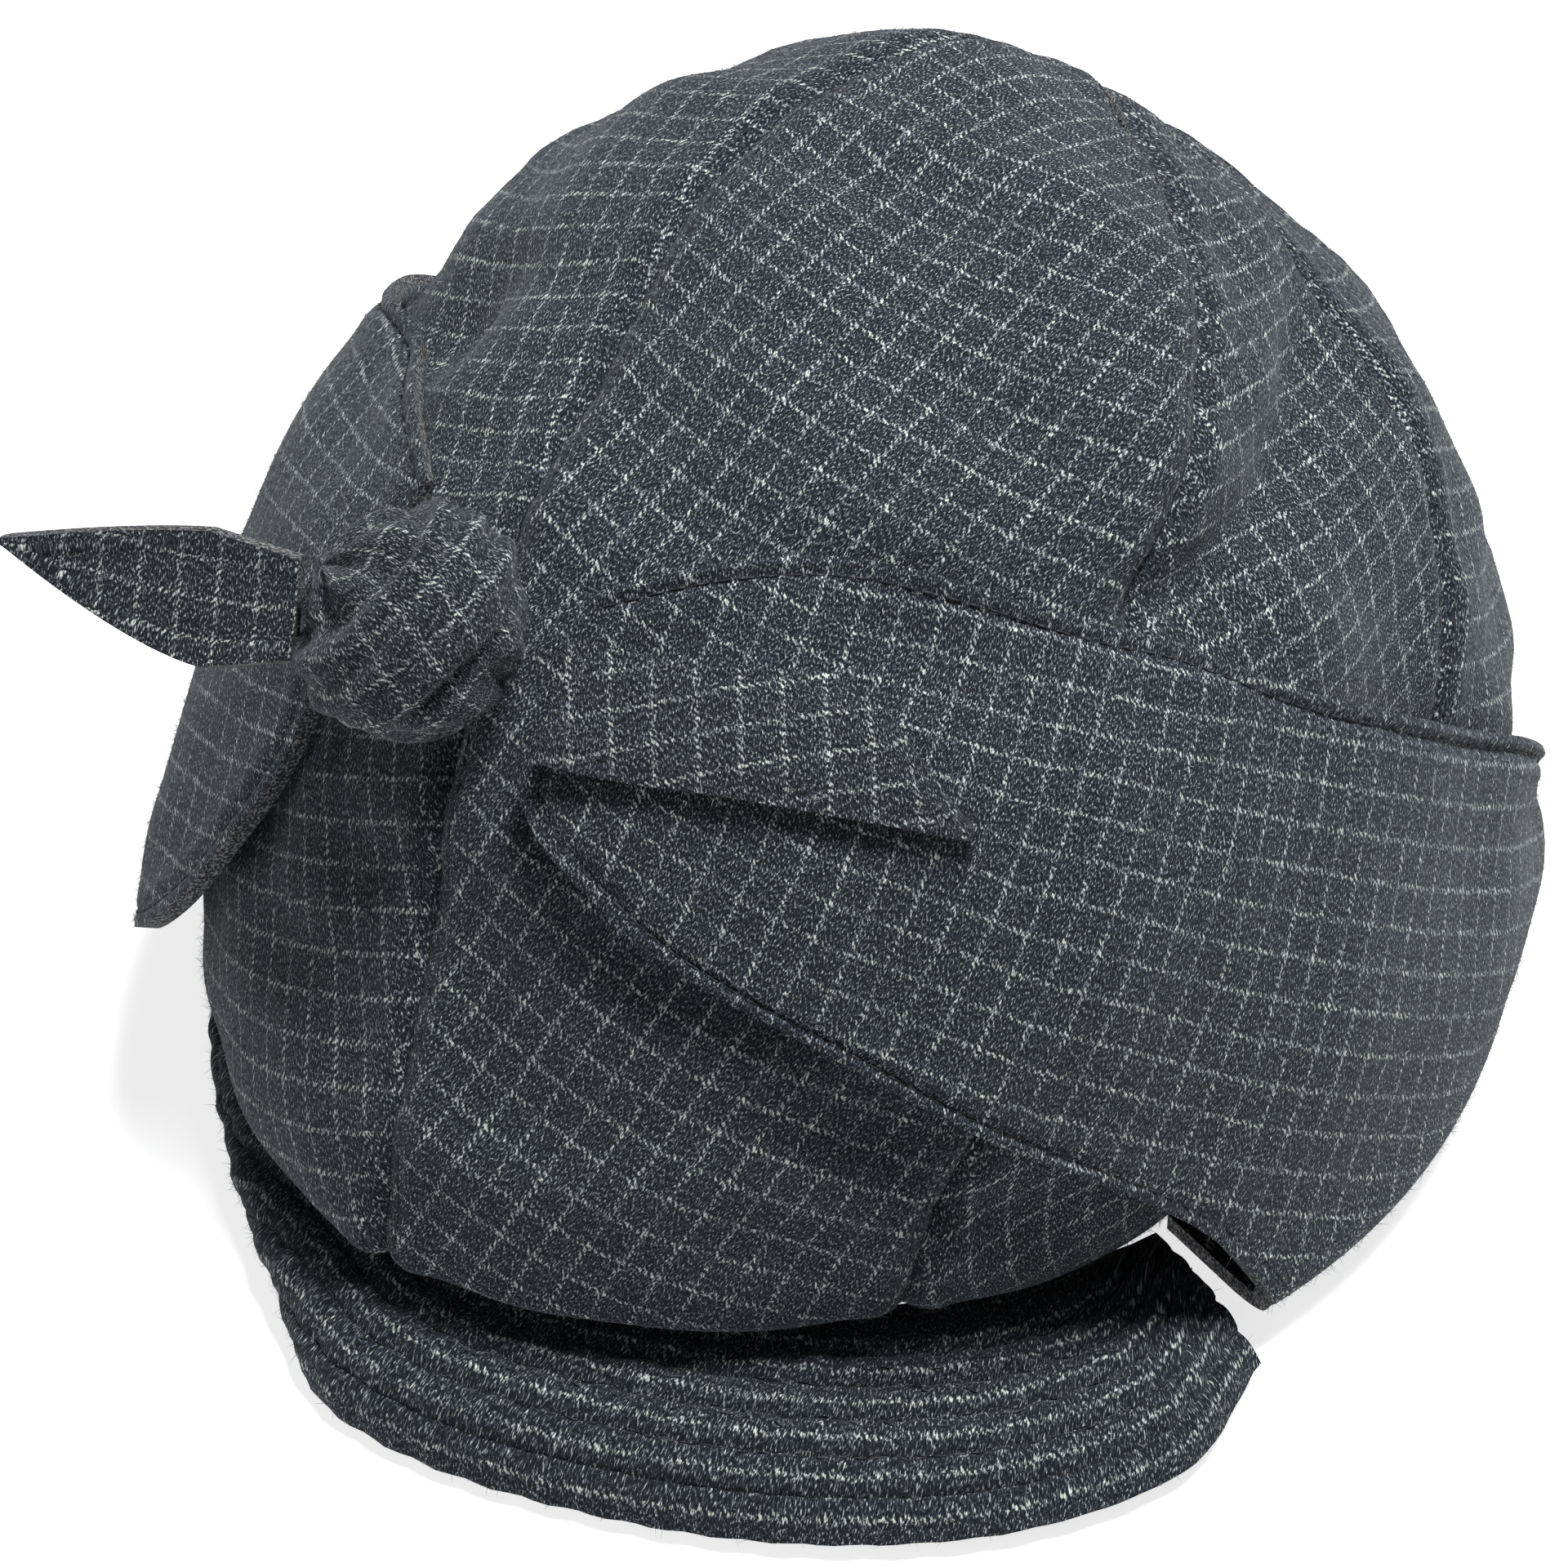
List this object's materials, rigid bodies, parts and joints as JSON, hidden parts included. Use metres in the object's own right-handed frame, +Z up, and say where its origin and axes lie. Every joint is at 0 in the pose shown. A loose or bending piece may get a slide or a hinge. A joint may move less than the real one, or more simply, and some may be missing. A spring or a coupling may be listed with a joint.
{
  "type": "deerstalker hat",
  "caption": "Wool check hat with a soft gored crown, one stitched front peak and ear flaps turned up and knotted over the front.",
  "frame": {"origin": "centre of the outline's box, on the surface that the hat rests on", "axes": "-Y to the front of the hat, +X to the wearer's left, +Z up"},
  "size_m": [0.2124, 0.2408, 0.1279],
  "materials": {
    "wool_check": "brushed wool",
    "wool_check_folded": "brushed wool"
  },
  "bodies": {
    "root": {"crown_panel_1": "wool_check", "crown_panel_2": "wool_check", "crown_panel_3": "wool_check", "crown_panel_4": "wool_check", "crown_panel_5": "wool_check", "crown_panel_6": "wool_check", "crown_panel_7": "wool_check", "crown_panel_8": "wool_check", "peak": "wool_check", "flap_left": "wool_check", "flap_right": "wool_check", "knot": "wool_check_folded", "tie_end_left": "wool_check_folded", "tie_end_right": "wool_check_folded"}
  },
  "joints": []
}
